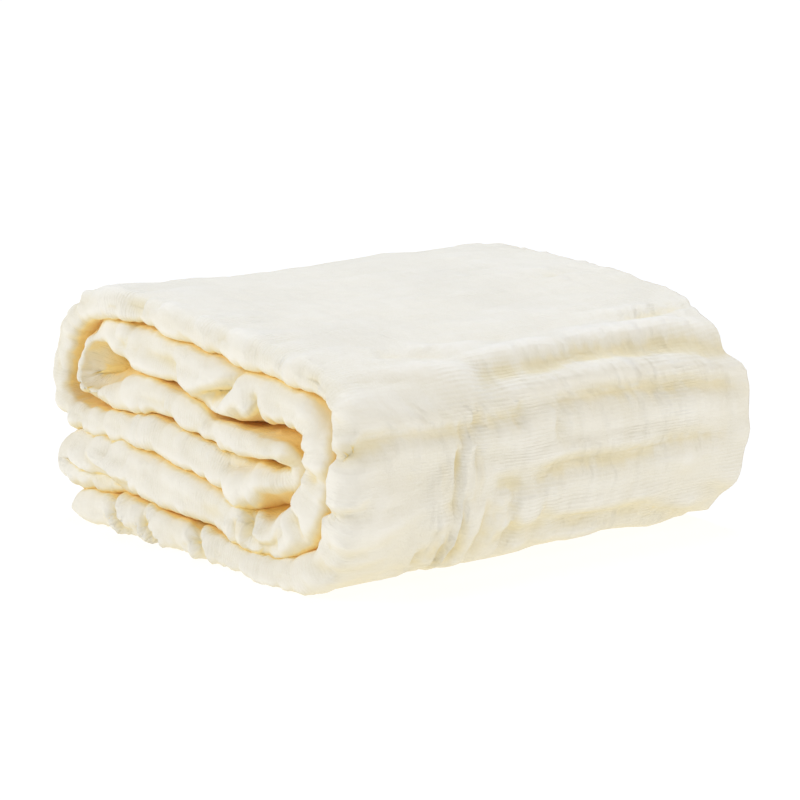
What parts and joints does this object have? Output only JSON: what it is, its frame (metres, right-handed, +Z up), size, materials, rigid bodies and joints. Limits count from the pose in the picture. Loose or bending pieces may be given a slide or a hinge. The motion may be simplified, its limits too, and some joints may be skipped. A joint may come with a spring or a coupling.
{
  "type": "swaddle blanket",
  "caption": "Soft layered gauze blanket for a baby, folded lengthwise and rolled into a flat bundle that lies on a shelf or table.",
  "frame": {"origin": "bottom centre of the bundle's box, on the surface it lies on", "axes": "+Z up; +Y along the folds, from the end with the closed folded edges to the end where the plies lie open; +X across, towards the outer wall of the roll"},
  "size_m": [0.18, 0.1888, 0.0898],
  "materials": {
    "gauze": "matt crinkled cotton gauze"
  },
  "bodies": {
    "root": {"blanket": "gauze"}
  },
  "joints": []
}
